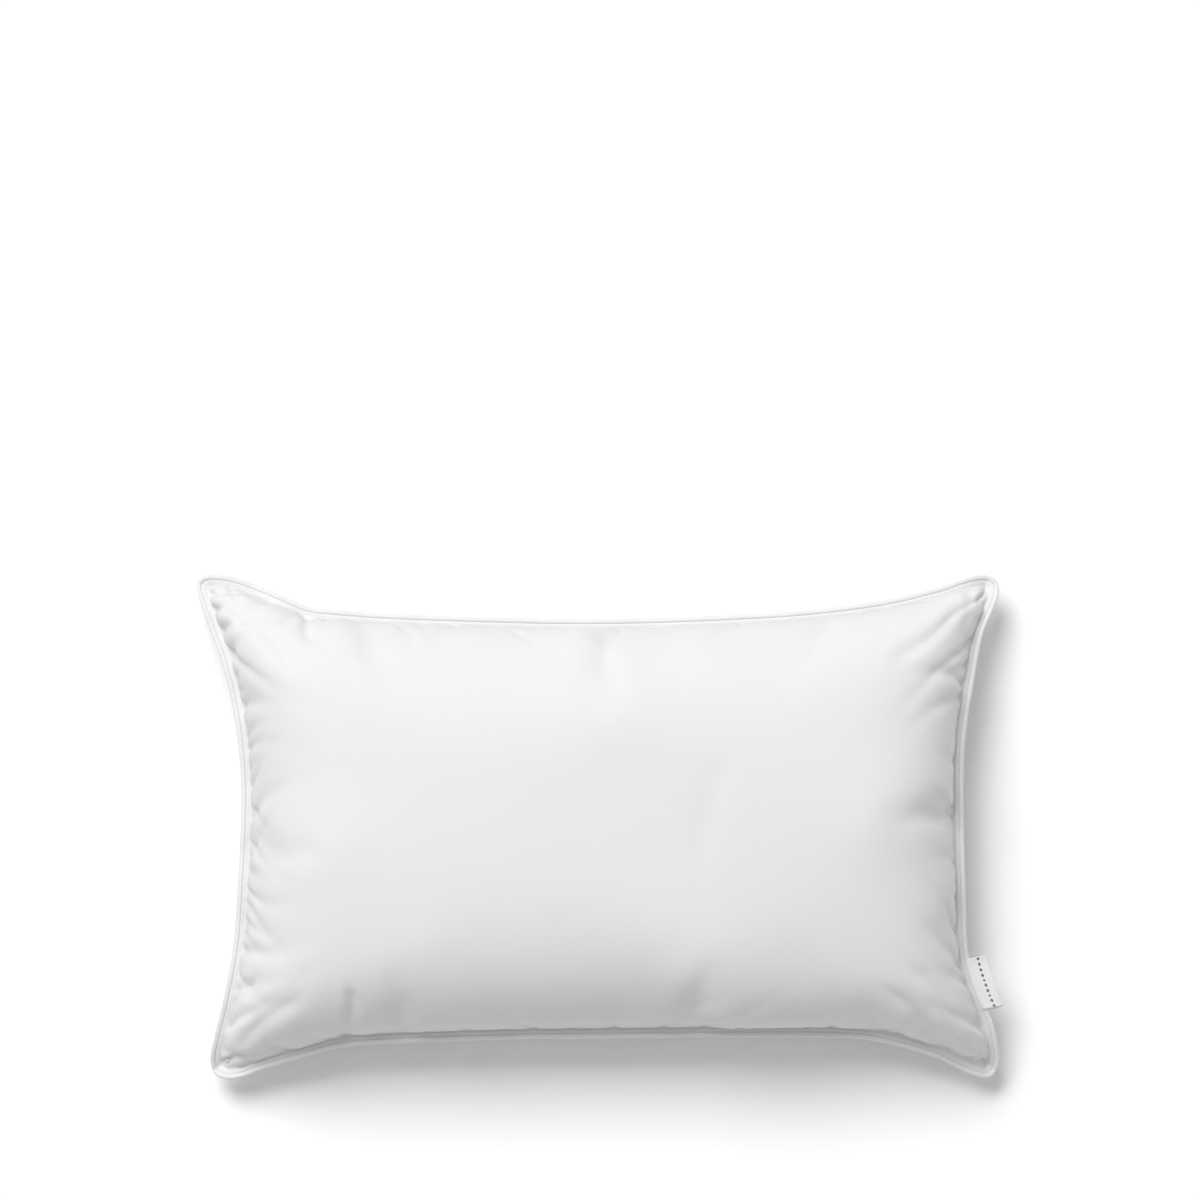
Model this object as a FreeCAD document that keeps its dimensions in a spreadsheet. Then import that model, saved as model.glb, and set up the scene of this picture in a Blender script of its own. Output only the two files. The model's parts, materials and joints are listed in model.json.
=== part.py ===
import FreeCAD, Part
import Sketcher
import math
import os

# A filled bed pillow lying flat: two cloth panels sewn edge to edge with a corded piping between
# them, a loose down filling inside and a folded tag caught in the seam at one end.
# Frame: +Z up, +X along the length towards the tag's end, the floor at Z = 0, the origin below the
# middle. Millimetres. The seam is a closed loop that sags from the middle of each side down to the
# four tips. Every loop below is that seam moved inward by an inset and up or down by a lift.

Vector = FreeCAD.Vector

DRIVING = {
    # the outline over the piping, tip to tip, and how far each side draws in at its middle
    "outer_length": 736,
    "outer_width": 462,
    "tip_radius": 20,
    "tag_end_hollow": 36,
    "plain_end_hollow": 46,
    "side_hollow": 41,
    "hollow_power": 2.2,
    # heights above the floor
    "pillow_height": 203,
    "seam_height": 75,
    "tip_height": 32,
    # the flat patch that the pillow rests on, and the level patch at its crown
    "base_length": 400,
    "base_width": 180,
    "crown_length": 190,
    "crown_width": 84,
    "patch_bow": 14,
    "dome_power": 2.3,
    # layers at the edge
    "cloth_thickness": 1.0,
    "layer_gap": 0.2,
    "thread_gap": 0.15,
    "piping_diameter": 4.5,
    "cord_diameter": 3.3,
    "flange_width": 4,
    "allowance_width": 5,
    "thread_diameter": 0.6,
    "closing_length": 200,
    # the folded tag and its free swing
    "tag_reach": 19,
    "tag_length": 50,
    "tag_thickness": 1.5,
    "tag_gap": 0.3,
    "tag_across": -140,
    "tag_tilt": 12,
    "tag_clearance": 1.0,
}

LONG_RUNS, SHORT_RUNS, CORNER_RUNS = 14, 10, 3
DOME_RINGS = 7
DOME_SWEEP = math.radians(78)
PATCH_CORNER_SHARE = 0.9
SLEEVE_FACES, RINGS_PER_FACE = 8, 3
CLOSING_RUNS = 6
CORNER_SAG_POWER = 3
TIP_PINCH_POWER = 4
ARC_SHARE = 0.45

doc = FreeCAD.newDocument("BedPillow")
sheet = doc.addObject("Spreadsheet::Sheet", "Dimensions")
for row, (alias, value) in enumerate(DRIVING.items(), start=1):
    sheet.set(f"A{row}", alias)
    sheet.set(f"B{row}", str(value))
    sheet.setAlias(f"B{row}", alias)
doc.recompute()
size = {alias: float(sheet.get(alias)) for alias in DRIVING}

tip_sag = size["seam_height"] - size["tip_height"]
half_thread = size["thread_diameter"] / 2
piping_radius = size["piping_diameter"] / 2
half_ply = size["cloth_thickness"] / 2
band_inner_lift = half_ply + size["layer_gap"]
band_outer_lift = band_inner_lift + size["cloth_thickness"]
seam_inset = size["piping_diameter"] + half_thread + size["thread_gap"]
band_inset = seam_inset + half_thread + size["layer_gap"]
body_inset = size["piping_diameter"] + size["flange_width"]
edge_row_inset = body_inset - 2 * half_thread - size["thread_gap"]
closing_row_inset = (band_inset + edge_row_inset) / 2
allowance_inset = size["piping_diameter"] + size["allowance_width"]
fill_inset = allowance_inset + size["layer_gap"]


# ---- loops


def rounded_rectangle(half_length, half_width, radius):
    """Stations anticlockwise round a rounded rectangle, from the tag end's first corner."""
    stations = []
    corners = [(1, -1, -90), (1, 1, 0), (-1, 1, 90), (-1, -1, 180)]
    for side, (along, across, start) in enumerate(corners):
        centre = Vector(along * (half_length - radius), across * (half_width - radius), 0)
        arc = []
        for step in range(CORNER_RUNS + 1):
            turn = math.radians(start + 90 * step / CORNER_RUNS)
            arc.append(centre + Vector(math.cos(turn), math.sin(turn), 0) * radius)
        next_along, next_across, next_start = corners[(side + 1) % 4]
        next_turn = math.radians(next_start)
        next_centre = Vector(next_along * (half_length - radius), next_across * (half_width - radius), 0)
        side_end = next_centre + Vector(math.cos(next_turn), math.sin(next_turn), 0) * radius
        runs = SHORT_RUNS if side % 2 == 0 else LONG_RUNS
        stations += arc
        stations += [arc[-1] + (side_end - arc[-1]) * (step / runs) for step in range(1, runs)]
    return stations


def hollowed(point, half_length, half_width, hollows):
    """Draws the sides in at their middles by the tag end's, the plain end's and the long sides' hollow."""
    tag_end, plain_end, long_side = hollows
    end = tag_end if point.x > 0 else plain_end
    draw_in_x = end * (1 - abs(point.y / half_width) ** size["hollow_power"])
    draw_in_y = long_side * (1 - abs(point.x / half_length) ** size["hollow_power"])
    return Vector(
        point.x * (1 - draw_in_x / half_length),
        point.y * (1 - draw_in_y / half_width),
        0,
    )


def seam_point(point):
    """Takes a point of the plain outline onto the seam, which draws in and rises from the tips."""
    half_length = size["outer_length"] / 2
    half_width = size["outer_width"] / 2
    tip_share = abs(point.x / half_length * point.y / half_width) ** CORNER_SAG_POWER
    hollows = (size["tag_end_hollow"], size["plain_end_hollow"], size["side_hollow"])
    height = size["seam_height"] - tip_sag * tip_share
    return hollowed(point, half_length, half_width, hollows) + Vector(0, 0, height)


def moved_inward(points, inset, lift):
    """The inner points of an anticlockwise run, each moved so that its two runs stay parallel."""
    moved = []
    for before, point, after in zip(points, points[1:], points[2:]):
        sides = []
        for run in (point - before, after - point):
            sides.append(Vector(-run.y, run.x, 0).normalize())
        inward = (sides[0] + sides[1]) * (1 / (1 + sides[0].dot(sides[1])))
        moved.append(point + inward * inset + Vector(0, 0, lift))
    return moved


def seam_loop(inset, lift):
    """The seam's loop, moved inward by the inset and up by the lift."""
    outline = rounded_rectangle(size["outer_length"] / 2, size["outer_width"] / 2, size["tip_radius"])
    stations = [seam_point(point) for point in outline]
    return moved_inward([stations[-1]] + stations + [stations[0]], inset, lift)


def level_patch(end_length, end_width):
    """The loop of the flat patch that closes a dome. Its sides bow out."""
    outline = rounded_rectangle(end_length / 2, end_width / 2, PATCH_CORNER_SHARE * end_width / 2)
    bows = [-size["patch_bow"]] * 3
    return [hollowed(point, end_length / 2, end_width / 2, bows) for point in outline]


def dome_ring(seam, end, end_height, level):
    """One ring between the seam, at level 0, and the level patch that closes the dome, at level 1."""
    turn = DOME_SWEEP * level
    power = 2 / size["dome_power"]
    last_spread = math.cos(DOME_SWEEP) ** power
    share = (math.cos(turn) ** power - last_spread) / (1 - last_spread)
    rise = (math.sin(turn) / math.sin(DOME_SWEEP)) ** power
    seam_level = max(point.z for point in seam)
    ring = []
    for edge, inner in zip(seam, end):
        sag = seam_level - edge.z
        climb = rise * (1 - sag / tip_sag * share**TIP_PINCH_POWER)
        height = seam_level + (end_height - seam_level) * climb - sag * share**2
        plan = inner + (edge - inner) * share
        ring.append(Vector(plan.x, plan.y, height))
    return ring


# ---- wires, faces and solids


def smooth_wire(points, closed=True):
    """Straight runs joined by tangent arcs, each as large as its two runs allow."""
    arcs = []
    inner = range(len(points)) if closed else range(1, len(points) - 1)
    for index in inner:
        corner = points[index]
        back = points[index - 1] - corner
        ahead = points[(index + 1) % len(points)] - corner
        reach = ARC_SHARE * min(back.Length, ahead.Length)
        start = corner + back.normalize() * reach
        end = corner + ahead.normalize() * reach
        half_angle = back.getAngle(ahead) / 2
        sagitta = reach * math.tan(half_angle) * (1 / math.sin(half_angle) - 1)
        middle = corner + (back + ahead).normalize() * sagitta
        arcs.append(Part.Arc(start, middle, end).toShape())
    ends = [arc.valueAt(arc.LastParameter) for arc in arcs]
    starts = [arc.valueAt(arc.FirstParameter) for arc in arcs]
    edges = [] if closed else [Part.makeLine(points[0], starts[0])]
    for index, arc in enumerate(arcs):
        if closed or index > 0:
            edges.append(Part.makeLine(ends[index - 1], starts[index]))
        edges.append(arc)
    if not closed:
        edges.append(Part.makeLine(ends[-1], points[-1]))
    return Part.Wire(edges)


def skin(rings, ruled=False):
    """The open surface through a stack of closed loops."""
    return Part.makeLoft([smooth_wire(ring) for ring in rings], False, ruled).Faces


def patch(ring):
    return [Part.Face(smooth_wire(ring))]


def solid_of(faces):
    shell = Part.Shell(faces)
    shell.sewShape()
    return Part.Solid(shell)


def dome(inset, lift, end_length, end_width, end_height):
    """The faces of one half of the pillow's body, from the seam to its closed level patch."""
    seam = seam_loop(inset, lift)
    end = level_patch(end_length, end_width)
    levels = [index / (DOME_RINGS - 1) for index in range(DOME_RINGS)]
    rings = [dome_ring(seam, end, end_height, level) for level in levels]
    return skin(rings) + patch(rings[-1])


# ---- sub-parts


def add_feature(label, shape):
    feature = doc.addObject("Part::Feature", label)
    feature.Shape = shape
    feature.Placement = FreeCAD.Placement()
    feature.Label = label
    return feature


def add_panel(label, side, end_length, end_width, outer_height):
    """A cloth panel: a dome and the flat band outside it, one cloth thickness apart inside and out."""
    inner_height = outer_height - side * size["cloth_thickness"]
    inner_body_inset = body_inset + size["cloth_thickness"]
    outer_edge = seam_loop(band_inset, side * band_outer_lift)
    inner_edge = seam_loop(band_inset, side * band_inner_lift)
    outer_fold = seam_loop(body_inset, side * band_outer_lift)
    inner_fold = seam_loop(inner_body_inset, side * band_inner_lift)
    trim = 2 * size["cloth_thickness"]
    faces = dome(body_inset, side * band_outer_lift, end_length, end_width, outer_height)
    faces += skin([outer_fold, outer_edge], ruled=True)
    faces += skin([outer_edge, inner_edge], ruled=True)
    faces += skin([inner_edge, inner_fold], ruled=True)
    faces += dome(
        inner_body_inset, side * band_inner_lift, end_length - trim, end_width - trim, inner_height
    )
    return add_feature(label, solid_of(faces))


def add_filling():
    """The down, as one soft body that fills the case and stays clear of the cloth."""
    clear = size["cloth_thickness"] + size["layer_gap"] * 2
    upper_edge = seam_loop(fill_inset, half_ply)
    lower_edge = seam_loop(fill_inset, -half_ply)
    faces = dome(
        fill_inset,
        half_ply,
        size["crown_length"] - 2 * clear,
        size["crown_width"] - 2 * clear,
        size["pillow_height"] - clear,
    )
    faces += skin([upper_edge, lower_edge], ruled=True)
    faces += dome(
        fill_inset, -half_ply, size["base_length"] - 2 * clear, size["base_width"] - 2 * clear, clear
    )
    return add_feature("down_fill", solid_of(faces))


def add_path(label, points, closed=True):
    """A path for a sweep, with the place and the heading of its start."""
    path = doc.addObject("Part::Feature", f"{label}_path")
    path.Shape = smooth_wire(points, closed)
    first = path.Shape.Edges[0]
    return path, first.valueAt(first.FirstParameter), first.tangentAt(first.FirstParameter)


def add_sweep(label, section, path):
    sweep = doc.addObject("Part::Sweep", label)
    sweep.Sections = [section]
    sweep.Spine = (path, [])
    sweep.Solid = True
    sweep.Frenet = False
    sweep.Label = label
    return sweep


def add_rod(label, diameter, points, closed=True):
    """A round rod swept along a path. The diameter is an expression in the sheet's names."""
    path, start, heading = add_path(label, points, closed)
    section = doc.addObject("Part::Circle", f"{label}_section")
    section.Placement = FreeCAD.Placement(start, FreeCAD.Rotation(Vector(0, 0, 1), heading))
    section.setExpression("Radius", f"{diameter} / 2")
    return add_sweep(label, section, path)


def add_piping_sleeve():
    """The bias strip: a tube round the cord, and its two allowances as a flat tongue in the seam.

    The tube is skinned in several faces round its section, so that it stays round when meshed.
    """
    neck_turn = math.asin(half_ply / piping_radius)
    rings = SLEEVE_FACES * RINGS_PER_FACE
    around = 2 * (math.pi - neck_turn) / rings
    tube = []
    for index in range(rings + 1):
        turn = neck_turn + index * around
        inset = piping_radius + piping_radius * math.cos(turn)
        tube.append(seam_loop(inset, piping_radius * math.sin(turn)))
    upper_end = seam_loop(allowance_inset, half_ply)
    lower_end = seam_loop(allowance_inset, -half_ply)
    faces = []
    for first in range(0, rings, RINGS_PER_FACE):
        faces += skin(tube[first : first + RINGS_PER_FACE + 1])
    faces += skin([tube[-1], lower_end], ruled=True)
    faces += skin([lower_end, upper_end], ruled=True)
    faces += skin([upper_end, tube[0]], ruled=True)
    strip = add_feature("sleeve_strip", solid_of(faces))
    hollow = add_rod("sleeve_inside", "Dimensions.cord_diameter", seam_loop(piping_radius, 0))
    sleeve = doc.addObject("Part::Cut", "piping_sleeve")
    sleeve.Base = strip
    sleeve.Tool = hollow
    sleeve.Label = "piping_sleeve"
    return sleeve


def add_piping_cord():
    return add_rod("piping_cord", "Dimensions.cord_diameter", seam_loop(piping_radius, 0))


def add_thread(label, inset, lift):
    return add_rod(label, "Dimensions.thread_diameter", seam_loop(inset, lift))


def add_closing_thread():
    """The row that shuts the filling mouth, along the middle of the plain end's upper band."""
    lift = band_outer_lift + half_thread + size["thread_gap"]
    run = size["closing_length"] / CLOSING_RUNS
    stations = []
    for step in range(-1, CLOSING_RUNS + 2):
        across = size["closing_length"] / 2 - run * step
        stations.append(seam_point(Vector(-size["outer_length"] / 2, across, 0)))
    points = moved_inward(stations, closing_row_inset, lift)
    return add_rod("closing_stitching", "Dimensions.thread_diameter", points, closed=False)


def tag_frame():
    """The tag's root on the seam: its place, the way along the seam and the way out over the piping."""
    bow = Vector(size["outer_length"] / 2, size["tag_across"], 0)
    step = Vector(0, size["tag_length"] / 2, 0)
    ahead = seam_point(bow + step)
    behind = seam_point(bow - step)
    along = (ahead - behind).normalize()
    level_out = Vector(along.y, -along.x, 0).normalize()
    up = level_out.cross(along).normalize()
    tilt = math.radians(size["tag_tilt"])
    out = level_out * math.cos(tilt) - up * math.sin(tilt)
    over_piping = (piping_radius + size["tag_clearance"]) / math.cos(tilt) + piping_radius * math.tan(tilt)
    inner_side = (ahead + behind) * 0.5 - level_out * size["piping_diameter"]
    root = inner_side + up * (over_piping + size["tag_thickness"] / 2)
    return root, along, out


def add_woven_tag():
    """A ribbon folded in two, the fold outward and both cut ends at the seam, padded along the seam."""
    body = doc.addObject("PartDesign::Body", "woven_label")
    planes = {feature.Role: feature for feature in body.Origin.OriginFeatures}
    sketch = body.newObject("Sketcher::SketchObject", "tag_profile")
    sketch.AttachmentSupport = [(planes["XZ_Plane"], "")]
    sketch.MapMode = "FlatFace"
    outer = size["tag_thickness"] / 2
    inner = size["tag_gap"] / 2
    centre_x = size["tag_reach"] - outer
    centre = Vector(centre_x, 0, 0)
    normal = Vector(0, 0, 1)
    outer_fold = Part.ArcOfCircle(Part.Circle(centre, normal, outer), -math.pi / 2, math.pi / 2)
    inner_fold = Part.ArcOfCircle(Part.Circle(centre, normal, inner), -math.pi / 2, math.pi / 2)
    upper_face = Part.LineSegment(Vector(0, outer, 0), Vector(centre_x, outer, 0))
    lower_face = Part.LineSegment(Vector(0, -outer, 0), Vector(centre_x, -outer, 0))
    upper_lining = Part.LineSegment(Vector(0, inner, 0), Vector(centre_x, inner, 0))
    lower_lining = Part.LineSegment(Vector(0, -inner, 0), Vector(centre_x, -inner, 0))
    upper_end = Part.LineSegment(Vector(0, inner, 0), Vector(0, outer, 0))
    lower_end = Part.LineSegment(Vector(0, -inner, 0), Vector(0, -outer, 0))
    lines = [upper_face, lower_face, upper_lining, lower_lining, upper_end, lower_end]
    sketch.addGeometry([outer_fold, inner_fold] + lines, False)
    start, end, middle = 1, 2, 3
    origin, x_axis, y_axis = -1, -1, -2
    constraints = [
        Sketcher.Constraint("PointOnObject", 0, middle, x_axis),
        Sketcher.Constraint("Coincident", 0, middle, 1, middle),
        Sketcher.Constraint("Tangent", 0, end, 2, end),
        Sketcher.Constraint("Tangent", 0, start, 3, end),
        Sketcher.Constraint("Tangent", 1, end, 4, end),
        Sketcher.Constraint("Tangent", 1, start, 5, end),
        Sketcher.Constraint("Coincident", 6, start, 4, start),
        Sketcher.Constraint("Coincident", 6, end, 2, start),
        Sketcher.Constraint("Coincident", 7, start, 5, start),
        Sketcher.Constraint("Coincident", 7, end, 3, start),
        Sketcher.Constraint("PointOnObject", 6, start, y_axis),
        Sketcher.Constraint("PointOnObject", 7, start, y_axis),
        Sketcher.Constraint("Vertical", 6),
        Sketcher.Constraint("Vertical", 7),
        Sketcher.Constraint("Horizontal", 2),
        Sketcher.Constraint("Horizontal", 3),
        Sketcher.Constraint("Horizontal", 4),
        Sketcher.Constraint("Horizontal", 5),
    ]
    sketch.addConstraint(constraints)
    dimensions = {
        "reach": (
            Sketcher.Constraint("DistanceX", origin, start, 0, middle, centre_x),
            "Dimensions.tag_reach - Dimensions.tag_thickness / 2",
        ),
        "outer_fold": (Sketcher.Constraint("Radius", 0, outer), "Dimensions.tag_thickness / 2"),
        "inner_fold": (Sketcher.Constraint("Radius", 1, inner), "Dimensions.tag_gap / 2"),
    }
    for name, (constraint, expression) in dimensions.items():
        index = sketch.addConstraint(constraint)
        sketch.renameConstraint(index, name)
        sketch.setExpression(f"Constraints.{name}", expression)
    pad = body.newObject("PartDesign::Pad", "tag_length")
    pad.Profile = sketch
    pad.Midplane = True
    pad.setExpression("Length", "Dimensions.tag_length")
    body.Tip = pad
    root, along, out = tag_frame()
    turn = FreeCAD.Rotation(out, along, out.cross(along), "XYZ")
    body.Placement = FreeCAD.Placement(root, turn)
    body.Label = "woven_label"
    return body


top_row_lift = band_outer_lift + half_thread + size["thread_gap"]
seam_row_lift = half_ply + half_thread + size["thread_gap"]
sub_parts = [
    add_panel("top_panel", 1, size["crown_length"], size["crown_width"], size["pillow_height"]),
    add_panel("bottom_panel", -1, size["base_length"], size["base_width"], 0),
    add_filling(),
    add_piping_sleeve(),
    add_piping_cord(),
    add_thread("seam_needle_thread", seam_inset, seam_row_lift),
    add_thread("seam_bobbin_thread", seam_inset, -seam_row_lift),
    add_thread("edge_needle_thread", edge_row_inset, top_row_lift),
    add_thread("edge_bobbin_thread", edge_row_inset, -top_row_lift),
    add_closing_thread(),
    add_woven_tag(),
]
doc.recompute()

# ---- checks and files

for item in doc.Objects:
    if {"Invalid", "Error"} & set(item.State):
        raise RuntimeError(f"{item.Label} is {item.State}")
for part in sub_parts:
    if part.Shape.isNull() or not part.Shape.isValid():
        raise RuntimeError(f"{part.Label} has no valid shape")

os.makedirs("parts", exist_ok=True)
for part in sub_parts:
    part.Shape.exportStep(f"parts/{part.Label}.step")
    print(f"{part.Label}: {part.Shape.Volume / 1000:.2f} cm3, {len(part.Shape.Solids)} solid")

hinge_place, hinge_axis, _ = tag_frame()
print("tag hinge at", [round(value, 2) for value in hinge_place], "mm")
print("tag hinge along", [round(value, 4) for value in hinge_axis])
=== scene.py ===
"""A corded bed pillow on a white table: the cloth is inflated from its flat cut, then dressed with
its flange, piping, stitching and folded tag. Frame: +Z up, +X towards the tag's end, metres."""

import json
import math
import random

import bpy
import numpy as np
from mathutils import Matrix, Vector


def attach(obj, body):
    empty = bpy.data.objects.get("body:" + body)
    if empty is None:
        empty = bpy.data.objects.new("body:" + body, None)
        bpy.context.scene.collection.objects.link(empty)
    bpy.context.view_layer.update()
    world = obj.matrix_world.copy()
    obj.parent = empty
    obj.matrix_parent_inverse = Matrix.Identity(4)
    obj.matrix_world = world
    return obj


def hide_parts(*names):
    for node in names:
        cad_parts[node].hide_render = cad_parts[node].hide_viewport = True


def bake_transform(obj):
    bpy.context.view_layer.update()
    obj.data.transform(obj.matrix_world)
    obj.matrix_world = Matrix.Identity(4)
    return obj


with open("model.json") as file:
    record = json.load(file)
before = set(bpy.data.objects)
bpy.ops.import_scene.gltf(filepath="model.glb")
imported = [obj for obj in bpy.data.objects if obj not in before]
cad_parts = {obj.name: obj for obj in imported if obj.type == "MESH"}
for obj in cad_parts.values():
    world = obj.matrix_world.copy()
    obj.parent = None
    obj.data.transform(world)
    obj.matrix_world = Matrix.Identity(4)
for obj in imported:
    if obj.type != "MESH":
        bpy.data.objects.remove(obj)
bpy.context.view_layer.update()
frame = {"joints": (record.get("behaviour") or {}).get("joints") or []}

MM = 0.001
random.seed(11)
noise = np.random.default_rng(11)

# ---- the edge, from the outside of the piping in to the row of edge stitches where the body begins
EDGE_WIDTH = 8.5 * MM
PIPING_RADIUS = 2.25 * MM
CORD_RADIUS = 1.6 * MM
TIP_ROUNDING = 170

# ---- heights above the table: the crown, the seam's middles and its four tips in the outline's order
PILLOW_HEIGHT = 201 * MM
SEAM_HEIGHT = 76 * MM
TIP_HEIGHTS = (30 * MM, 38 * MM, 34 * MM, 27 * MM)
TIP_REACH = (0.352, 0.219)
FULLNESS = 1.3
# how far in from the seam its quick moves and its drop are felt
CLOSE_REACH, DROP_REACH = 0.04, 0.12
# a move of the seam is slow where it keeps its way over about this length
SLOW_LENGTH = 0.03

# ---- the filled case: cloth mass and stiffness, the filling's push, and how much its creases are eased
CLOTH_MASS = 0.15
MASS_CELL = 0.0125
STRETCH_STIFFNESS, SHEAR_STIFFNESS, BENDING_STIFFNESS = 30, 9, 0.15
CLOTH_DAMPING = 5
FILLING_PRESSURE = 38
EASING_TIMES = 5

# ---- the flat cut between the rows of edge stitches
CUT_LENGTH, CUT_WIDTH, CUT_CORNER = 0.732, 0.472, 0.012
CELL = 0.008
FRAMES = 60
FINER = 4

# the outside of the piping, anticlockwise from the tag end's near tip, in millimetres
TAG_END = [(362, -205), (357, -178), (344, -147), (334, -110), (331.5, -50), (330, 20), (331, 75),
           (339, 130), (347, 172), (357, 196), (361.5, 209)]
FAR_SIDE = [(360.5, 220), (353.5, 226), (341, 226.5), (323, 221.5), (305, 215.5), (250, 203), (170, 194),
            (70, 189), (-20, 187.5), (-110, 189.3), (-190, 192.3), (-240, 196), (-262, 199),
            (-290, 211), (-320, 222.5), (-335, 226.3)]
PLAIN_END = [(-350, 227), (-358.5, 223.5), (-361.3, 215.5), (-357, 200), (-351, 183), (-339, 150),
             (-328, 105), (-321.5, 50), (-321.5, 0), (-324, -50), (-328, -105), (-337, -155),
             (-345, -188), (-348.7, -206)]
NEAR_SIDE = [(-347, -219), (-341, -225.5), (-330.5, -227.5), (-317, -224.7), (-300, -218),
             (-258, -205.5), (-228, -198), (-178, -194.5), (-90, -191.5), (20, -190), (120, -189),
             (215, -189.5), (255, -194), (302, -207), (322, -216.5), (336.5, -223), (348.5, -226.5),
             (357, -223), (361.3, -214.5)]
OUTLINE = TAG_END + FAR_SIDE + PLAIN_END + NEAR_SIDE
TIPS = ((1, -1), (1, 1), (-1, 1), (-1, -1))


# ---- curves


def curved_runs(before, start, end, beyond, steps):
    """Points on smooth curves from each start towards its end, given the points on either side."""
    runs = []
    for t in np.arange(steps) / steps:
        straight = 2 * start + (end - before) * t
        bend = (2 * before - 5 * start + 4 * end - beyond) * t**2
        twist = (3 * start - before - 3 * end + beyond) * t**3
        runs.append((straight + bend + twist) / 2)
    return np.stack(runs, 1)


def through(points, steps):
    """A closed smooth curve through the points."""
    points = np.array(points, float)
    before, after, beyond = (np.roll(points, shift, 0) for shift in (1, -1, -2))
    return curved_runs(before, points, after, beyond, steps).reshape(-1, points.shape[1])


def level_inward(loop):
    """Level unit vectors to the left of an anticlockwise loop."""
    run = np.roll(loop, -1, 0) - np.roll(loop, 1, 0)
    inward = np.stack([-run[:, 1], run[:, 0], np.zeros(len(loop))], 1)
    return inward / np.linalg.norm(inward, axis=1)[:, None]


def blurred(values, times):
    """Values round a closed loop, averaged with their neighbours."""
    for _ in range(times):
        values = (np.roll(values, 1, 0) + 2 * values + np.roll(values, -1, 0)) / 4
    return values


def resampled(loop, count):
    """A closed loop as that many points at equal distances."""
    closed = np.vstack([loop, loop[:1]])
    distance = np.concatenate([[0], np.cumsum(np.linalg.norm(np.diff(closed, axis=0), axis=1))])
    wanted = np.linspace(0, distance[-1], count, endpoint=False)
    return np.stack([np.interp(wanted, distance, closed[:, axis]) for axis in range(3)], 1)


def wander(count, waves, height):
    """A smooth closed random line with about that many waves."""
    line = np.zeros(count)
    turn = np.linspace(0, 2 * math.pi, count, endpoint=False)
    for wave in range(max(1, waves // 2), waves + waves // 2 + 1):
        line += noise.normal() * np.cos(wave * turn + noise.uniform(0, 2 * math.pi))
    return line * height / np.std(line)


def seam_heights(plan):
    """Height of the seam over each point of its outline: level sides that sag into the tips."""
    u = np.clip(plan[:, 0] / TIP_REACH[0], -1, 1)
    v = np.clip(plan[:, 1] / TIP_REACH[1], -1, 1)
    shares = np.stack([(1 + x * u) * (1 + y * v) for x, y in TIPS], 1)
    tip = shares @ np.array(TIP_HEIGHTS) / shares.sum(1)
    return SEAM_HEIGHT - (SEAM_HEIGHT - tip) * np.abs(u * v) ** 3


def seam_loops():
    """The outside of the piping as a dense loop that starts near the tag end's near tip, the level
    way inward from it, and the row of edge stitches, which turns the tips more widely."""
    plan = through(OUTLINE, 40) * MM
    outer = resampled(np.column_stack([plan, np.zeros(len(plan))]), 2400)
    inward = blurred(level_inward(outer), 12)
    inward /= np.linalg.norm(inward, axis=1)[:, None]
    row = blurred(outer + inward * EDGE_WIDTH, TIP_ROUNDING)
    outer[:, 2] = seam_heights(outer) + wander(len(outer), 34, 0.7 * MM)
    row[:, 2] = outer[:, 2]
    return outer, inward, row


# ---- the inflated case


def flat_place(i, j, columns, rows):
    """A grid corner on the flat cut, whose four corners are rounded."""
    x = (2 * i / columns - 1) * CUT_LENGTH / 2
    y = (2 * j / rows - 1) * CUT_WIDTH / 2
    centre_x, centre_y = CUT_LENGTH / 2 - CUT_CORNER, CUT_WIDTH / 2 - CUT_CORNER
    over_x, over_y = abs(x) - centre_x, abs(y) - centre_y
    if over_x > 0 and over_y > 0:
        pull = max(over_x, over_y) / math.hypot(over_x, over_y)
        x = math.copysign(centre_x + over_x * pull, x)
        y = math.copysign(centre_y + over_y * pull, y)
    return x, y


def mesh_object(name, vertices, faces, smooth=True):
    mesh = bpy.data.meshes.new(name)
    mesh.from_pydata([tuple(vertex) for vertex in vertices], [], [tuple(face) for face in faces])
    mesh.update()
    mesh.polygons.foreach_set("use_smooth", [smooth] * len(mesh.polygons))
    made = bpy.data.objects.new(name, mesh)
    bpy.context.collection.objects.link(made)
    return made


def grid_faces(index, flip):
    """Quads between the neighbours of a grid of vertex numbers."""
    corners = [index[:-1, :-1], index[1:, :-1], index[1:, 1:], index[:-1, 1:]]
    if flip:
        corners.reverse()
    return np.stack([corner.ravel() for corner in corners], 1)


def border_steps(columns, rows):
    """Grid places round the border, anticlockwise from the tag end's near corner."""
    steps = [(columns, j) for j in range(rows)] + [(i, rows) for i in range(columns, 0, -1)]
    return steps + [(0, j) for j in range(rows, 0, -1)] + [(i, 0) for i in range(columns)]


def sewn_numbers(shape):
    """Vertex numbers of an upper and a lower grid that share their border, and which are inside it."""
    inner = np.zeros(shape, bool)
    inner[1:-1, 1:-1] = True
    upper_index = np.arange(inner.size).reshape(shape)
    lower_index = upper_index.copy()
    lower_index[inner] = inner.size + np.arange(inner.sum())
    return inner, upper_index, lower_index


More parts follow.
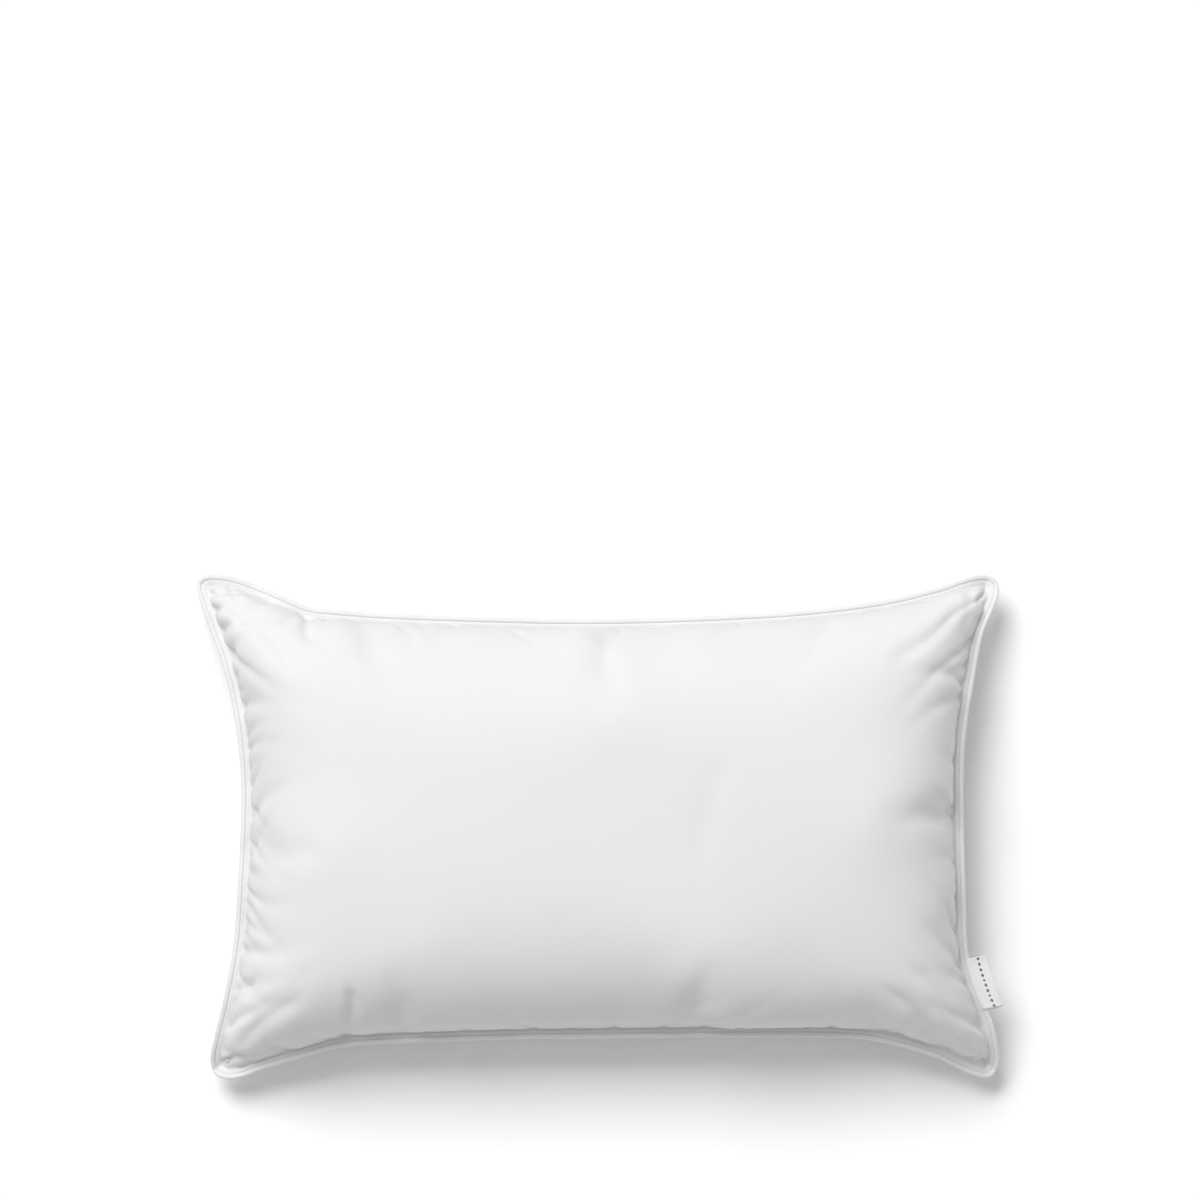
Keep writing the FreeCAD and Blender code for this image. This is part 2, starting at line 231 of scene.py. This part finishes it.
def inflate(columns, rows):
    """The two panels, sewn together along their borders, filled until taut on the table.
    Returns the upper and the lower grid of points."""
    steps = [[flat_place(i, j, columns, rows) for j in range(rows + 1)] for i in range(columns + 1)]
    flat = np.array(steps)
    depth = np.minimum(CUT_LENGTH / 2 - np.abs(flat[..., 0]), CUT_WIDTH / 2 - np.abs(flat[..., 1]))
    rise = (2 + 300 * np.clip(depth, 0, 0.06)) * MM
    inner, upper_index, lower_index = sewn_numbers(depth.shape)
    upper = np.dstack([flat, SEAM_HEIGHT + np.where(inner, rise, 0)]).reshape(-1, 3)
    lower = np.dstack([flat, SEAM_HEIGHT - rise])[inner]
    faces = np.vstack([grid_faces(upper_index, False), grid_faces(lower_index, True)])
    case = mesh_object("case_blank", np.vstack([upper, lower]), faces)

    cloth = case.modifiers.new("cloth", "CLOTH")
    settings = cloth.settings
    settings.quality = 6
    settings.mass = CLOTH_MASS * (CELL / MASS_CELL) ** 2
    settings.tension_stiffness = settings.compression_stiffness = STRETCH_STIFFNESS
    settings.shear_stiffness = SHEAR_STIFFNESS
    settings.bending_stiffness = BENDING_STIFFNESS
    settings.tension_damping = settings.compression_damping = settings.shear_damping = CLOTH_DAMPING
    settings.use_pressure = True
    settings.uniform_pressure_force = FILLING_PRESSURE
    cloth.collision_settings.collision_quality = 4
    cloth.collision_settings.use_self_collision = False
    cloth.collision_settings.distance_min = 0.001
    table = mesh_object("table_blank", [(-1, -1, 0), (1, -1, 0), (1, 1, 0), (-1, 1, 0)], [(0, 1, 2, 3)])
    table.modifiers.new("collision", "COLLISION")
    table.collision.thickness_outer = 0.001
    table.collision.cloth_friction = 5

    cloth.point_cache.frame_start, cloth.point_cache.frame_end = 1, FRAMES
    for number in range(1, FRAMES + 1):
        bpy.context.scene.frame_set(number)
    settled = case.evaluated_get(bpy.context.evaluated_depsgraph_get())
    places = np.array([vertex.co[:] for vertex in settled.data.vertices])
    bpy.context.scene.frame_set(1)
    for blank in (case, table):
        bpy.data.objects.remove(blank)
    lowest, highest = places[:, 2].min(), places[:, 2].max()
    places[:, 2] = (places[:, 2] - lowest) * PILLOW_HEIGHT / (highest - lowest)
    return places[upper_index], places[lower_index]


def spread(border, weights):
    """Values round the border, carried over the grid. weights give each side's say at each place."""
    columns, rows = weights[0].shape[0] - 1, weights[0].shape[1] - 1
    around = {step: value for step, value in zip(border_steps(columns, rows), border)}
    tag = np.array([around[(columns, j)] for j in range(rows + 1)])[None, :, :]
    plain = np.array([around[(0, j)] for j in range(rows + 1)])[None, :, :]
    far = np.array([around[(i, rows)] for i in range(columns + 1)])[:, None, :]
    near = np.array([around[(i, 0)] for i in range(columns + 1)])[:, None, :]
    to_tag, to_plain, to_far, to_near = (weight[..., None] for weight in weights)
    total = to_tag * tag + to_plain * plain + to_far * far + to_near * near
    for end, weight in ((tag, to_tag), (plain, to_plain)):
        total -= weight * to_far * end[:, -1:, :] + weight * to_near * end[:, :1, :]
    return total


def matched(grids, target):
    """Moves the grids so that their shared border lies on the target loop. The slow part of the
    level move is shared over the whole case. The slow part of the drop fades before the middle,
    which keeps its place on the table, and the quick part dies away close to the seam."""
    columns, rows = grids[0].shape[0] - 1, grids[0].shape[1] - 1
    steps = border_steps(columns, rows)
    border = np.array([grids[0][step] for step in steps])
    move = target - border
    slow = blurred(move, round((SLOW_LENGTH / CELL) ** 2))
    i, j = np.meshgrid(np.arange(columns + 1), np.arange(rows + 1), indexing="ij")
    even = [i / columns, 1 - i / columns, j / rows, 1 - j / rows]
    fading = {}
    for reach in (CLOSE_REACH, DROP_REACH):
        weights = [np.exp(-((away * CELL / reach) ** 2)) for away in (columns - i, i, rows - j, j)]
        for away, weight in zip((columns - i, i, rows - j, j), weights):
            weight[away > max(columns, rows) // 2] = 0
        fading[reach] = weights
    total = spread(slow * (1, 1, 0), even)
    total += spread(slow * (0, 0, 1), fading[DROP_REACH])
    total += spread(move - slow, fading[CLOSE_REACH])
    return [grid + total for grid in grids]


def fuller(grid):
    """The upper panel with steeper flanks and a broader crown of the same height."""
    crown = grid[..., 2].max()
    span = crown - SEAM_HEIGHT
    share = np.clip((grid[..., 2] - SEAM_HEIGHT) / span, 0, 1)
    grid = grid.copy()
    grid[..., 2] += span * (1 - (1 - share) ** FULLNESS - share)
    return grid


def eased(grid, times):
    """The grid with its finest creases softened. Its border stays in place."""
    grid = grid.copy()
    for _ in range(times):
        around = grid[:-2, 1:-1] + grid[2:, 1:-1] + grid[1:-1, :-2] + grid[1:-1, 2:]
        grid[1:-1, 1:-1] = (grid[1:-1, 1:-1] + around / 4) / 2
    return grid


def finer(grid, times):
    """The grid with more points, on smooth curves through the old ones."""
    for _ in range(2):
        padded = np.concatenate([2 * grid[:1] - grid[1:2], grid, 2 * grid[-1:] - grid[-2:-1]])
        runs = curved_runs(padded[:-3], padded[1:-2], padded[2:-1], padded[3:], times)
        grid = runs.reshape(-1, *grid.shape[1:])
        grid = np.concatenate([grid, padded[-2:-1]]).swapaxes(0, 1)
    return grid


def grid_normals(grid):
    along, across = np.gradient(grid, axis=0), np.gradient(grid, axis=1)
    normal = np.cross(along, across)
    return normal / np.linalg.norm(normal, axis=2)[..., None]


# ---- gathers and folds

# per side: spacing in metres, greatest depth, greatest length
GATHERS = {
    "tag": (0.016, 4.2 * MM, 0.070),
    "plain": (0.015, 4.2 * MM, 0.075),
    "far": (0.030, 2.2 * MM, 0.060),
    "near": (0.030, 2.8 * MM, 0.070),
}


def gathers(grid, cell, strength):
    """Depth of the short creases that run inward from the edge stitches."""
    columns, rows = grid.shape[0] - 1, grid.shape[1] - 1
    i, j = np.meshgrid(np.arange(columns + 1), np.arange(rows + 1), indexing="ij")
    ways = {"tag": (columns - i, j, rows), "plain": (i, j, rows), "far": (rows - j, i, columns),
            "near": (j, i, columns)}
    depth = np.zeros(grid.shape[:2])
    for side, (spacing, deepest, longest) in GATHERS.items():
        away, along, count = ways[side]
        away, along = away * cell, along * cell
        place, end = random.uniform(0.4, 1) * spacing, count * cell
        while place < end:
            share = random.random()
            width = random.uniform(3.0, 5.0) * MM
            length = longest * (0.3 + 0.7 * share)
            slant = random.uniform(-0.6, 0.6)
            bend = random.uniform(-4, 4)
            centre = place + slant * away + bend * away**2
            start = 1 - np.exp(-away / (2.5 * MM))
            crease = np.exp(-(((along - centre) / (width + 0.07 * away)) ** 2))
            depth += deepest * (0.25 + 0.75 * share) * start * np.exp(-((away / length) ** 2)) * crease
            place += spacing * random.uniform(0.6, 1.5)
    return depth * strength


# folds on the upper panel: both ends on the plan, half width and depth, in millimetres
FOLDS = [
    ((262, -150), (326, -206), 7, 4.0),
    ((286, -126), (334, -186), 6, 3.0),
    ((238, -172), (300, -204), 7, 2.5),
    ((-222, -148), (-226, -192), 6, 4.0),
    ((-258, 168), (-262, 196), 6, 4.0),
    ((-272, 150), (-330, 200), 8, 3.5),
    ((-270, -152), (-326, -200), 8, 3.5),
    ((272, 150), (330, 200), 8, 3.5),
    ((112, 62), (92, -36), 14, 1.2),
]


def folds(grid):
    """Depth of the named folds at each point of the upper grid."""
    depth = np.zeros(grid.shape[:2])
    for start, end, half_width, deepest in FOLDS:
        start, end = np.array(start) * MM, np.array(end) * MM
        run = end - start
        length = np.linalg.norm(run)
        away = grid[..., :2] - start
        share = away @ run / length**2
        aside = (away[..., 0] * run[1] - away[..., 1] * run[0]) / length
        aside = aside + 2.5 * MM * np.sin(share * 5 + half_width)
        taper = np.exp(-((np.clip(np.abs(share - 0.5) - 0.3, 0, None) / 0.22) ** 2))
        depth += deepest * MM * taper * np.exp(-((aside / (half_width * MM)) ** 2))
    return depth


def above_table(grid, softness=4 * MM):
    """Keeps the grid off the table without a sharp edge."""
    height = grid[..., 2]
    grid = grid.copy()
    grid[..., 2] = (height + np.sqrt(height**2 + softness**2) - softness) / 2 + 0.6 * MM
    return grid


# ---- build the case

outer, inward, row = seam_loops()
piping_line = outer + inward * PIPING_RADIUS
ditch = outer + inward * PIPING_RADIUS * 1.9
columns, rows = round(CUT_LENGTH / CELL), round(CUT_WIDTH / CELL)


def along_row(count_short, count_long, loop):
    """Points of a dense loop of the seam at the border steps of a grid, tip to tip on each side."""
    tips = [int(np.argmax(x * row[:, 0] / TIP_REACH[0] + y * row[:, 1] / TIP_REACH[1])) for x, y in TIPS]
    picked = []
    for side, count in enumerate((count_short, count_long, count_short, count_long)):
        first, last = tips[side], tips[(side + 1) % 4]
        last += len(row) if last <= first else 0
        places = np.linspace(first, last, count, endpoint=False)
        whole = np.floor(places).astype(int)
        part = (places - whole)[:, None]
        picked.append(loop[whole % len(row)] * (1 - part) + loop[(whole + 1) % len(row)] * part)
    return np.concatenate(picked)


upper, lower = inflate(columns, rows)
upper, lower = matched([upper, lower], along_row(rows, columns, row))
upper, lower = eased(upper, EASING_TIMES), eased(lower, EASING_TIMES)
upper = fuller(upper)
coarse_upper, coarse_lower = upper, lower
upper, lower = finer(upper, FINER), finer(lower, FINER)
fine_cell = CELL / FINER
upper = upper - grid_normals(upper) * (gathers(upper, fine_cell, 1.0) + folds(upper))[..., None]
lower = lower + grid_normals(lower) * gathers(lower, fine_cell, 0.8)[..., None]
lower = above_table(lower)


# across the flange, from the edge stitches to the ditch: share of its width and height in millimetres
FLANGE_PROFILE = ((0.18, 0.45), (0.42, 1.05), (0.7, 1.1), (0.88, 0.75), (1.0, 0.15))


def panel(name, grid, side):
    """A panel: its body, and the flat flange outside the edge stitches, down into the ditch."""
    columns, rows = grid.shape[0] - 1, grid.shape[1] - 1
    index = np.arange(grid[..., 0].size).reshape(grid.shape[:2])
    steps = border_steps(columns, rows)
    border = np.array([index[step] for step in steps])
    edge = along_row(rows, columns, row)
    away = along_row(rows, columns, ditch) - edge
    vertices = grid.reshape(-1, 3).copy()
    vertices[border] = edge + np.array([0, 0, side * 0.35 * MM])
    faces = [tuple(face) for face in grid_faces(index, side < 0)]
    puff = 0.25 * MM * np.sin(np.arange(len(edge)) * fine_cell / (5.2 * MM)) + 0.1 * MM
    ring = border
    for share, lift in FLANGE_PROFILE:
        heights = side * (lift * MM + puff * (1 if 0.2 < share < 0.8 else 0))
        points = edge + away * share
        points[:, 2] += heights
        new_ring = len(vertices) + np.arange(len(points))
        vertices = np.vstack([vertices, points])
        for k in range(len(ring)):
            after = (k + 1) % len(ring)
            quad = (ring[k], new_ring[k], new_ring[after], ring[after])
            faces.append(quad if side > 0 else quad[::-1])
        ring = new_ring
    return mesh_object(name, vertices, faces)


def tube(name, centre, side_way, radius, sides=14, ripple=0.0):
    """A closed tube round a closed loop. side_way is the level way outward at each point."""
    up = np.array([0.0, 0.0, 1.0])
    vertices = []
    station = np.arange(len(centre))
    for k in range(sides):
        turn = 2 * math.pi * k / sides
        swell = radius + ripple * np.sin(station * 0.9 + turn) * np.sin(station * 0.113 + 1.3)
        vertices.append(centre + (side_way * math.cos(turn) + up * math.sin(turn)) * swell[:, None])
    index = np.arange(sides * len(centre)).reshape(sides, len(centre))
    index = np.vstack([index, index[:1]])
    index = np.hstack([index, index[:, :1]])
    return mesh_object(name, np.concatenate(vertices), grid_faces(index, False))


def stitches(name, path, up, pitch=3.0 * MM, thread=0.22 * MM, closed=True):
    """A row of short separate stitches along a path, each a small bowed bar of thread."""
    ends = np.vstack([path, path[:1]]) if closed else path
    distance = np.concatenate([[0], np.cumsum(np.linalg.norm(np.diff(ends, axis=0), axis=1))])
    vertices, faces = [], []
    for number in range(int(distance[-1] / pitch)):
        places = pitch * (number + np.array([0.06, 0.2, 0.5, 0.8, 0.94]))
        spine = np.stack([np.interp(places, distance, ends[:, axis]) for axis in range(3)], 1)
        spine[:, 2] += up * np.array([-0.25, 0.12, 0.2, 0.12, -0.25]) * MM
        heading = spine[-1] - spine[0]
        aside = np.array([-heading[1], heading[0], 0])
        aside /= np.linalg.norm(aside)
        first = len(vertices)
        for point in spine:
            for k in range(6):
                turn = math.pi * k / 3
                around = aside * math.cos(turn) + np.array([0, 0, math.sin(turn)])
                vertices.append(point + around * thread)
        for ring in range(4):
            for k in range(6):
                a, b = first + ring * 6 + k, first + ring * 6 + (k + 1) % 6
                faces.append((a, b, b + 6, a + 6))
    return mesh_object(name, vertices, faces)


top_cover = panel("top_panel_cloth", upper, 1)
bottom_cover = panel("bottom_panel_cloth", lower, -1)
piping = tube("piping_sleeve_cloth", piping_line, -inward, PIPING_RADIUS, ripple=0.12 * MM)
cord = tube("piping_cord_core", piping_line, -inward, CORD_RADIUS, sides=8)

up = np.array([0, 0, 1]) * MM
edge_path = row + (ditch - row) * 0.2
edge_needle = stitches("edge_needle_stitches", edge_path + up * 0.62, 1)
edge_bobbin = stitches("edge_bobbin_stitches", edge_path - up * 0.62, -1)
seam_needle = stitches("seam_needle_stitches", ditch + up * 0.1, 1, thread=0.15 * MM)
seam_bobbin = stitches("seam_bobbin_stitches", ditch - up * 0.1, -1, thread=0.15 * MM)
on_closing = (row[:, 0] < -0.2) & (np.abs(row[:, 1]) < 0.1)
closing_path = (row + (ditch - row) * 0.6 + up * 1.35)[on_closing]
closing = stitches("closing_stitches", closing_path, 1, closed=False)


def filling(name, upper, lower, shrink=12 * MM):
    """The down: the case's own shape, drawn in behind the cloth."""
    columns, rows = upper.shape[0] - 1, upper.shape[1] - 1
    inner, upper_index, lower_index = sewn_numbers(upper.shape[:2])
    upper_points = upper - grid_normals(upper) * shrink
    lower_points = lower + grid_normals(lower) * shrink
    for step, place in zip(border_steps(columns, rows), along_row(rows, columns, row + inward * shrink)):
        upper_points[step] = place
    lower_points[..., 2] = np.maximum(lower_points[..., 2], 3 * MM)
    vertices = np.vstack([upper_points.reshape(-1, 3), lower_points[inner]])
    faces = np.vstack([grid_faces(upper_index, False), grid_faces(lower_index, True)])
    return mesh_object(name, vertices, faces)


down = filling("down_filling", coarse_upper, above_table(coarse_lower))

# ---- the folded tag, sewn in at the inner side of the piping

hinge = next(joint for joint in frame["joints"] if joint["name"] == "label_flap")
TAG_LENGTH = 50 * MM
# the lower ply's place across the ribbon, so far on that no motif falls on it
PAST_THE_FOLD = 1.0
tag_root = np.array(hinge["pos_m"])
tag_along = -np.array(hinge["axis"])
tag_out = np.array([tag_along[1], -tag_along[0], 0])
tag_out /= np.linalg.norm(tag_out)

# the tag's line from one cut end in the ditch to the other, outward and up from the ditch, millimetres
UPPER_PLY = [(-0.4, 0.2), (0.3, 1.9), (2.2, 2.75), (4.4, 2.35), (7.0, 1.75), (13.0, 0.45), (18.2, -0.7)]
FOLD = [(18.9, -1.05), (18.3, -1.3)]
LOWER_PLY = [(13.0, -0.1), (7.0, 1.2), (4.4, 1.9), (2.2, 2.35), (0.3, 1.6), (-0.4, 0.0)]


def folded_tag(name, across=26):
    """Two plies of ribbon: up out of the ditch, over the piping, out to the fold and back below."""
    line = np.array(UPPER_PLY + FOLD + LOWER_PLY) * MM
    line = finer(np.repeat(line[:, None, :], 2, axis=1), 5)[:, 0, :]
    turn_back = int(np.argmax(line[:, 0]))
    lower_ply = np.arange(len(line)) > turn_back
    free = np.clip(line[:, 0] / line[:, 0].max(), 0, 1) ** 1.2
    open_share = np.sin(math.pi * free**0.8)
    vertices = []
    for station in range(across + 1):
        share = station / across * 2 - 1
        middle = tag_root + tag_along * share * TAG_LENGTH / 2
        start = ditch[np.argmin(np.linalg.norm((ditch - middle)[:, :2], axis=1))]
        gap = MM * (0.1 + 1.3 * max(0, -share) ** 4 + 0.7 * max(0, share) ** 4)
        curl = 1.8 * MM * max(0, share - 0.5) ** 2 / 0.25
        slip = 1.3 * MM * max(0, -share) ** 2
        for (out, height), below, loose, opened in zip(line, lower_ply, free, open_share):
            point = start + tag_out * out
            point[2] += height + curl * loose + gap * opened * (-1 if below else 1)
            point -= tag_along * slip * opened * below
            vertices.append(point)
    index = np.arange((across + 1) * len(line)).reshape(across + 1, len(line))
    made = mesh_object(name, vertices, grid_faces(index, False))
    along = np.repeat(np.linspace(0, TAG_LENGTH, across + 1), len(line))
    across_ply = np.tile(np.where(lower_ply, PAST_THE_FOLD, line[:, 0]), across + 1)
    corner_of = np.empty(len(made.data.loops), int)
    made.data.loops.foreach_get("vertex_index", corner_of)
    layer = made.data.uv_layers.new(name="ribbon_millimetres")
    layer.data.foreach_set("uv", (np.stack([along, across_ply], 1)[corner_of] / MM).ravel())
    ply = made.modifiers.new("ply", "SOLIDIFY")
    ply.thickness = 0.25 * MM
    ply.offset = 0
    bpy.context.view_layer.objects.active = made
    bpy.ops.object.modifier_apply(modifier="ply")
    return made


tag = folded_tag("folded_woven_tag")

# ---- finishes


def material(
    name, colour, roughness, sheen=0.0, mottle=0.02, mottle_scale=18.0, bump=0.0, bump_scale=260.0
):
    """A matt cloth: an almost even colour with a faint mottle and a soft grain."""
    made = bpy.data.materials.new(name)
    made.use_nodes = True
    nodes, links = made.node_tree.nodes, made.node_tree.links
    shader = nodes["Principled BSDF"]
    shader.inputs["Roughness"].default_value = roughness
    shader.inputs["IOR"].default_value = 1.35
    shader.inputs["Sheen Weight"].default_value = sheen
    shader.inputs["Sheen Roughness"].default_value = 0.5
    place = nodes.new("ShaderNodeTexCoord")
    patches = nodes.new("ShaderNodeTexNoise")
    patches.inputs["Scale"].default_value = mottle_scale
    patches.inputs["Detail"].default_value = 4
    links.new(place.outputs["Object"], patches.inputs["Vector"])
    tint = nodes.new("ShaderNodeMix")
    tint.data_type = "RGBA"
    tint.inputs["A"].default_value = (*[channel * (1 - mottle) for channel in colour], 1)
    tint.inputs["B"].default_value = (*colour, 1)
    links.new(patches.outputs["Fac"], tint.inputs["Factor"])
    links.new(tint.outputs["Result"], shader.inputs["Base Color"])
    if bump:
        grain = nodes.new("ShaderNodeTexNoise")
        grain.inputs["Scale"].default_value = bump_scale
        grain.inputs["Detail"].default_value = 3
        links.new(place.outputs["Object"], grain.inputs["Vector"])
        relief = nodes.new("ShaderNodeBump")
        relief.inputs["Strength"].default_value = bump
        relief.inputs["Distance"].default_value = 0.4 * MM
        links.new(grain.outputs["Fac"], relief.inputs["Height"])
        links.new(relief.outputs["Normal"], shader.inputs["Normal"])
    return made


CLOTH_WHITE = (0.765, 0.765, 0.768)
RIBBON_WHITE = (0.83, 0.83, 0.83)
cambric = material("white_cambric", CLOTH_WHITE, 0.85, sheen=0.05, bump=0.35)
piping_cloth = material("white_piping_cloth", CLOTH_WHITE, 0.8, sheen=0.05, bump=0.35, bump_scale=500)
thread = material("white_sewing_thread", (0.86, 0.86, 0.86), 0.6, mottle=0.05, mottle_scale=400)
filler = material("undyed_cord", (0.78, 0.76, 0.70), 0.9, mottle=0.1, mottle_scale=300)
feather = material("white_down", (0.82, 0.81, 0.78), 0.95, sheen=0.2, mottle=0.1, mottle_scale=60)
ribbon = material("woven_ribbon", RIBBON_WHITE, 0.55, mottle_scale=200, bump=0.2, bump_scale=900)


def weave_lozenges(made, spacing, half_length, half_width, middle, colour):
    """A row of small lozenges along the ribbon's upper ply, woven in another colour."""
    nodes, links = made.node_tree.nodes, made.node_tree.links
    shader = nodes["Principled BSDF"]
    ground = shader.inputs["Base Color"].links[0].from_socket

    def step(operation, first, second):
        node = nodes.new("ShaderNodeMath")
        node.operation = operation
        for socket, value in zip(node.inputs, (first, second)):
            if isinstance(value, (int, float)):
                socket.default_value = value
            else:
                links.new(value, socket)
        return node.outputs["Value"]

    place = nodes.new("ShaderNodeUVMap")
    place.uv_map = "ribbon_millimetres"
    parts = nodes.new("ShaderNodeSeparateXYZ")
    links.new(place.outputs["UV"], parts.inputs["Vector"])
    along = step("PINGPONG", step("ADD", parts.outputs["X"], spacing / 2), spacing / 2)
    aside = step("ABSOLUTE", step("SUBTRACT", parts.outputs["Y"], middle), 0)
    reach = step("ADD", step("DIVIDE", along, half_length), step("DIVIDE", aside, half_width))
    woven = nodes.new("ShaderNodeMix")
    woven.data_type = "RGBA"
    woven.inputs["B"].default_value = (*colour, 1)
    links.new(ground, woven.inputs["A"])
    links.new(step("LESS_THAN", reach, 1), woven.inputs["Factor"])
    links.new(woven.outputs["Result"], shader.inputs["Base Color"])


# millimetres along and across the ribbon
weave_lozenges(
    ribbon, spacing=5.0, half_length=1.9, half_width=1.5, middle=11.5, colour=(0.16, 0.16, 0.17)
)

finishes = [
    (top_cover, cambric, "cambric", ["top_panel"]),
    (bottom_cover, cambric, "cambric", ["bottom_panel"]),
    (piping, piping_cloth, "piping_cloth", ["piping_sleeve"]),
    (cord, filler, "filler_cord", ["piping_cord"]),
    (down, feather, "down", ["down_fill"]),
    (seam_needle, thread, "sewing_thread", ["seam_needle_thread"]),
    (seam_bobbin, thread, "sewing_thread", ["seam_bobbin_thread"]),
    (edge_needle, thread, "sewing_thread", ["edge_needle_thread"]),
    (edge_bobbin, thread, "sewing_thread", ["edge_bobbin_thread"]),
    (closing, thread, "sewing_thread", ["closing_stitching"]),
    (tag, ribbon, "label_ribbon", ["woven_label"]),
]
for piece, finish, slot, nodes_stood_for in finishes:
    piece.data.materials.append(finish)
    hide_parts(*nodes_stood_for)
    if piece is not tag:
        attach(piece, "pillow")

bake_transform(tag)

# ---- table, light and camera

SKY_AT_HORIZON, SKY_OVERHEAD = 0.26, 0.58
# strength, and in degrees the width of its disc, its heading anticlockwise from +X and its elevation
KEY_STRENGTH, KEY_DISC, KEY_HEADING, KEY_ELEVATION = 2.3, 32, 118, 56

table_corners = [(-4, -4, 0), (4, -4, 0), (4, 4, 0), (-4, 4, 0)]
floor = mesh_object("table_top", table_corners, [(0, 1, 2, 3)], smooth=False)
paper = bpy.data.materials.new("white_paper")
paper.use_nodes = True
paper.node_tree.nodes["Principled BSDF"].inputs["Base Color"].default_value = (0.97, 0.97, 0.97, 1)
paper.node_tree.nodes["Principled BSDF"].inputs["Roughness"].default_value = 1.0
paper.node_tree.nodes["Principled BSDF"].inputs["Specular IOR Level"].default_value = 0.0
floor.data.materials.append(paper)

scene = bpy.context.scene
sky = bpy.data.worlds.new("studio")
scene.world = sky
sky.use_nodes = True
sky_nodes, sky_links = sky.node_tree.nodes, sky.node_tree.links
sky_nodes["Background"].inputs["Color"].default_value = (1, 1, 1, 1)
direction = sky_nodes.new("ShaderNodeTexCoord")
parts = sky_nodes.new("ShaderNodeSeparateXYZ")
level_to_top = sky_nodes.new("ShaderNodeMapRange")
level_to_top.inputs["To Min"].default_value = SKY_AT_HORIZON
level_to_top.inputs["To Max"].default_value = SKY_OVERHEAD
sky_links.new(direction.outputs["Generated"], parts.inputs["Vector"])
sky_links.new(parts.outputs["Z"], level_to_top.inputs["Value"])
sky_links.new(level_to_top.outputs["Result"], sky_nodes["Background"].inputs["Strength"])

light = bpy.data.lights.new("key_light", "SUN")
light.energy = KEY_STRENGTH
light.angle = math.radians(KEY_DISC)
lamp = bpy.data.objects.new("key_light", light)
bpy.context.collection.objects.link(lamp)
heading, elevation = math.radians(KEY_HEADING), math.radians(KEY_ELEVATION)
level = math.cos(elevation)
towards = Vector((math.cos(heading) * level, math.sin(heading) * level, math.sin(elevation)))
lamp.rotation_euler = towards.to_track_quat("Z", "Y").to_euler()

camera = bpy.data.cameras.new("camera")
camera.type = "ORTHO"
camera.ortho_scale = 1.081
camera.clip_end = 20
camera_stand = bpy.data.objects.new("camera", camera)
camera_stand.location = (0.00225, 0.2045, 3)
bpy.context.collection.objects.link(camera_stand)
scene.camera = camera_stand
scene.view_settings.view_transform = "Standard"
